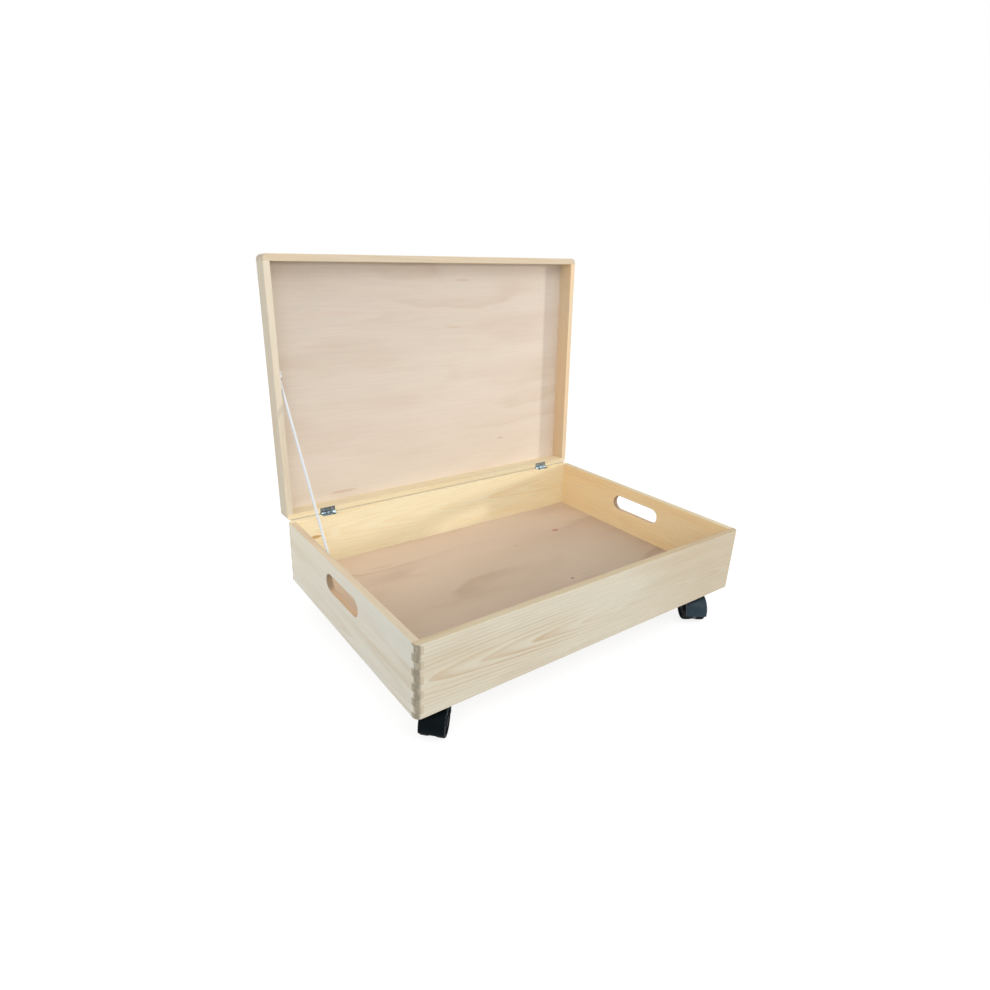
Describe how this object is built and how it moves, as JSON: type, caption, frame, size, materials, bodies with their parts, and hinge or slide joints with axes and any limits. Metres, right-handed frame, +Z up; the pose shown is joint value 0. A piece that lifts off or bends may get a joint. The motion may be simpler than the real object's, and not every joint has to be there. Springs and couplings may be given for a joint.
{
  "type": "storage chest",
  "caption": "Low rectangular wooden chest with a hinged framed lid, hand slots in both ends, a cord lid stay and swivel castors.",
  "frame": {"origin": "on the floor under the middle of the outline, lid open", "axes": "+X along the chest's length, +Y from the front to the hinge side, +Z up"},
  "size_m": [0.75, 0.5768, 0.689],
  "materials": {
    "box_pine": "bare sanded pine",
    "lid_pine": "bare sanded pine",
    "plywood": "bare plywood",
    "zinc": "zinc plated",
    "steel": "zinc plated",
    "castor_plastic": "moulded",
    "wheel_plastic": "moulded",
    "cord": "braided"
  },
  "bodies": {
    "box": {"front_board": "box_pine", "back_board": "box_pine", "left_board": "box_pine", "right_board": "box_pine", "bottom_panel": "plywood", "left_castor_batten": "box_pine", "right_castor_batten": "box_pine", "hinge_body_screws": "zinc", "stay_body_eye": "zinc", "stay_cord": "cord", "left_hinge_body_leaf": "zinc", "right_hinge_body_leaf": "zinc", "left_hinge_pin": "zinc", "right_hinge_pin": "zinc", "castor_plate_screws": "steel", "front_left_castor_plate": "steel", "front_left_castor_kingpin": "steel", "front_right_castor_plate": "steel", "front_right_castor_kingpin": "steel", "rear_left_castor_plate": "steel", "rear_left_castor_kingpin": "steel", "rear_right_castor_plate": "steel", "rear_right_castor_kingpin": "steel"},
    "lid": {"lid_front_board": "lid_pine", "lid_back_board": "lid_pine", "lid_left_board": "lid_pine", "lid_right_board": "lid_pine", "lid_panel": "plywood", "left_hinge_lid_leaf": "zinc", "right_hinge_lid_leaf": "zinc", "hinge_lid_screws": "zinc", "stay_lid_eye": "zinc"},
    "front_left_castor": {"front_left_castor_hood": "castor_plastic", "front_left_castor_axle": "steel"},
    "front_left_inner_wheel": {"front_left_inner_wheel": "wheel_plastic"},
    "front_left_outer_wheel": {"front_left_outer_wheel": "wheel_plastic"},
    "front_right_castor": {"front_right_castor_hood": "castor_plastic", "front_right_castor_axle": "steel"},
    "front_right_inner_wheel": {"front_right_inner_wheel": "wheel_plastic"},
    "front_right_outer_wheel": {"front_right_outer_wheel": "wheel_plastic"},
    "rear_left_castor": {"rear_left_castor_hood": "castor_plastic", "rear_left_castor_axle": "steel"},
    "rear_left_inner_wheel": {"rear_left_inner_wheel": "wheel_plastic"},
    "rear_left_outer_wheel": {"rear_left_outer_wheel": "wheel_plastic"},
    "rear_right_castor": {"rear_right_castor_hood": "castor_plastic", "rear_right_castor_axle": "steel"},
    "rear_right_inner_wheel": {"rear_right_inner_wheel": "wheel_plastic"},
    "rear_right_outer_wheel": {"rear_right_outer_wheel": "wheel_plastic"}
  },
  "joints": [
    {"name": "lid_hinge", "type": "hinge", "parent": "box", "child": "lid", "pos_m": [0, 0.22339, 0.1901], "axis": [1, 0, 0], "range_deg": [0, 93], "deforming": ["stay_cord"]},
    {"name": "front_left_swivel", "type": "hinge", "parent": "box", "child": "front_left_castor", "pos_m": [-0.31, -0.23421, 0.06], "axis": [0, 0, 1], "continuous": true},
    {"name": "front_left_inner_wheel_spin", "type": "hinge", "parent": "front_left_castor", "child": "front_left_inner_wheel", "pos_m": [-0.32612, -0.25061, 0.025], "axis": [0.7133, -0.7009, 0], "continuous": true},
    {"name": "front_left_outer_wheel_spin", "type": "hinge", "parent": "front_left_castor", "child": "front_left_outer_wheel", "pos_m": [-0.32612, -0.25061, 0.025], "axis": [0.7133, -0.7009, 0], "continuous": true},
    {"name": "front_right_swivel", "type": "hinge", "parent": "box", "child": "front_right_castor", "pos_m": [0.31, -0.23421, 0.06], "axis": [0, 0, 1], "continuous": true},
    {"name": "front_right_inner_wheel_spin", "type": "hinge", "parent": "front_right_castor", "child": "front_right_inner_wheel", "pos_m": [0.2973, -0.25339, 0.025], "axis": [0.8339, -0.5519, 0], "continuous": true},
    {"name": "front_right_outer_wheel_spin", "type": "hinge", "parent": "front_right_castor", "child": "front_right_outer_wheel", "pos_m": [0.2973, -0.25339, 0.025], "axis": [0.8339, -0.5519, 0], "continuous": true},
    {"name": "rear_left_swivel", "type": "hinge", "parent": "box", "child": "rear_left_castor", "pos_m": [-0.31, 0.18179, 0.06], "axis": [0, 0, 1], "continuous": true},
    {"name": "rear_left_inner_wheel_spin", "type": "hinge", "parent": "rear_left_castor", "child": "rear_left_inner_wheel", "pos_m": [-0.29584, 0.19992, 0.025], "axis": [-0.788, 0.6157, 0], "continuous": true},
    {"name": "rear_left_outer_wheel_spin", "type": "hinge", "parent": "rear_left_castor", "child": "rear_left_outer_wheel", "pos_m": [-0.29584, 0.19992, 0.025], "axis": [-0.788, 0.6157, 0], "continuous": true},
    {"name": "rear_right_swivel", "type": "hinge", "parent": "box", "child": "rear_right_castor", "pos_m": [0.31, 0.18179, 0.06], "axis": [0, 0, 1], "continuous": true},
    {"name": "rear_right_inner_wheel_spin", "type": "hinge", "parent": "rear_right_castor", "child": "rear_right_inner_wheel", "pos_m": [0.29264, 0.1667, 0.025], "axis": [0.6561, -0.7547, 0], "continuous": true},
    {"name": "rear_right_outer_wheel_spin", "type": "hinge", "parent": "rear_right_castor", "child": "rear_right_outer_wheel", "pos_m": [0.29264, 0.1667, 0.025], "axis": [0.6561, -0.7547, 0], "continuous": true}
  ]
}
